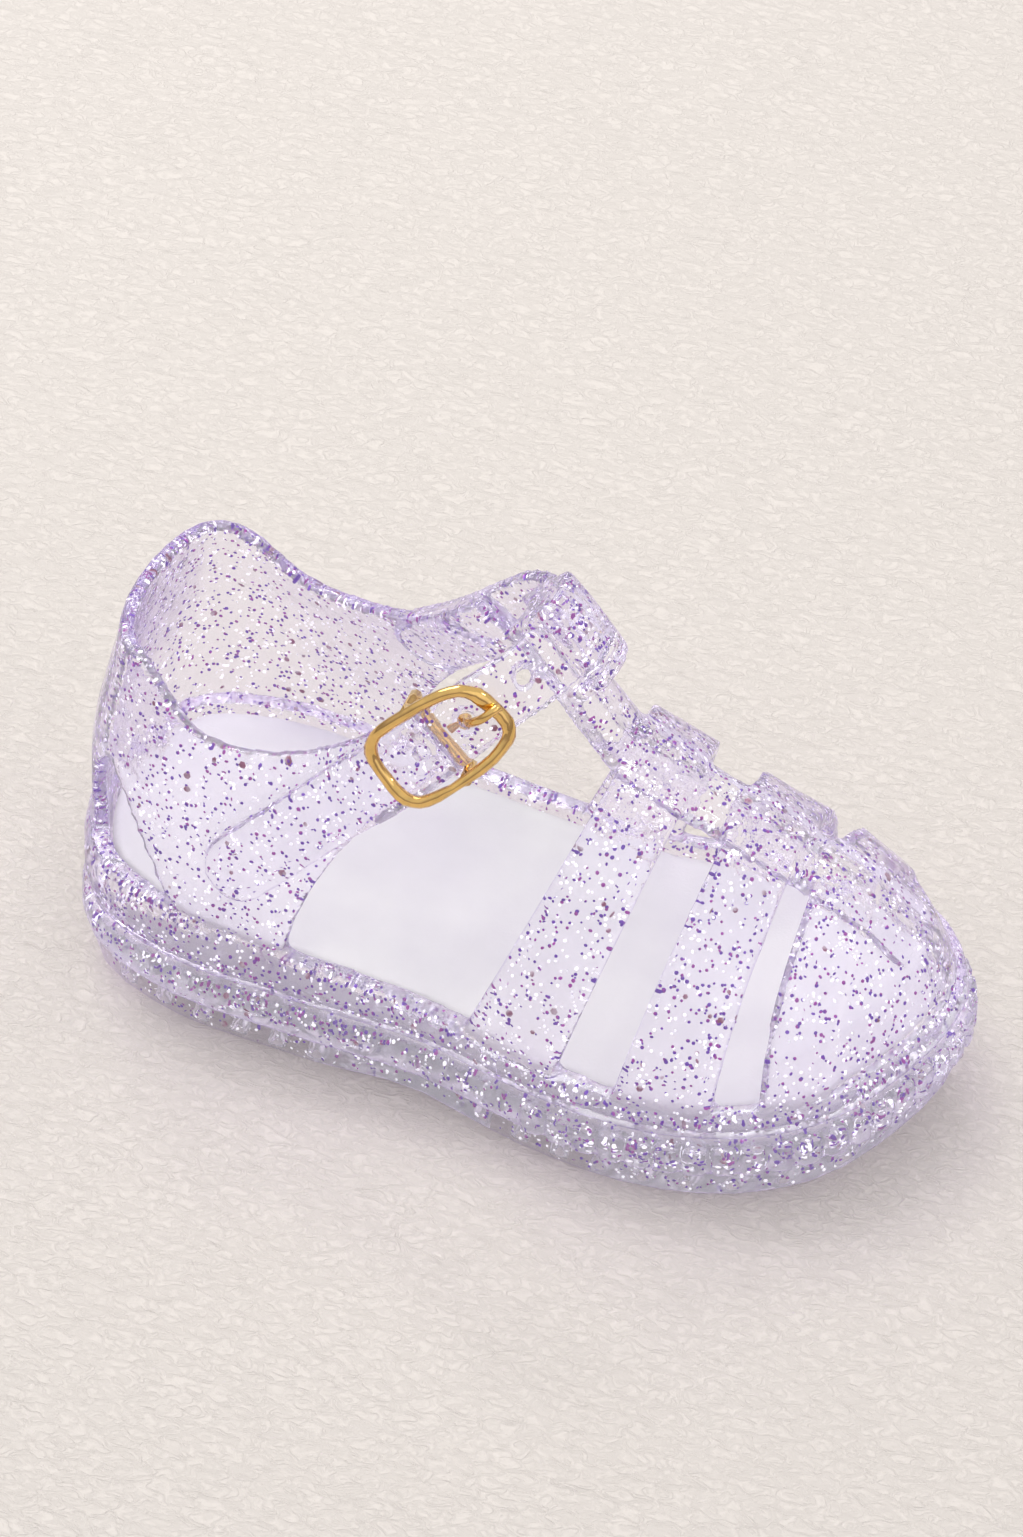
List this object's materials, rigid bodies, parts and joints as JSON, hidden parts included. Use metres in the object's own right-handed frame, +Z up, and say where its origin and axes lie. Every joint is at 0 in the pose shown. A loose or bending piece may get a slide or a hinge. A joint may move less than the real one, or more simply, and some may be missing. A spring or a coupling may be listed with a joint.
{
  "type": "jelly sandal",
  "caption": "Toddler's right fisherman-style jelly sandal in clear glittery PVC, with a T-bar, side straps, a buckled ankle strap and a gold buckle.",
  "frame": {"origin": "centre of the footprint's box at the floor", "axes": "+X towards the toe, +Y towards the inner side of the foot, +Z up"},
  "size_m": [0.1426, 0.066, 0.0844],
  "materials": {
    "clear_pvc": "clear with glitter",
    "sole_pvc": "clear with glitter",
    "sock": "satin",
    "gold": "polished"
  },
  "bodies": {
    "root": {"outsole": "sole_pvc", "midsole": "sole_pvc", "insole": "sock", "upper": "clear_pvc", "buckle_frame": "gold", "buckle_prong": "gold"}
  },
  "joints": []
}
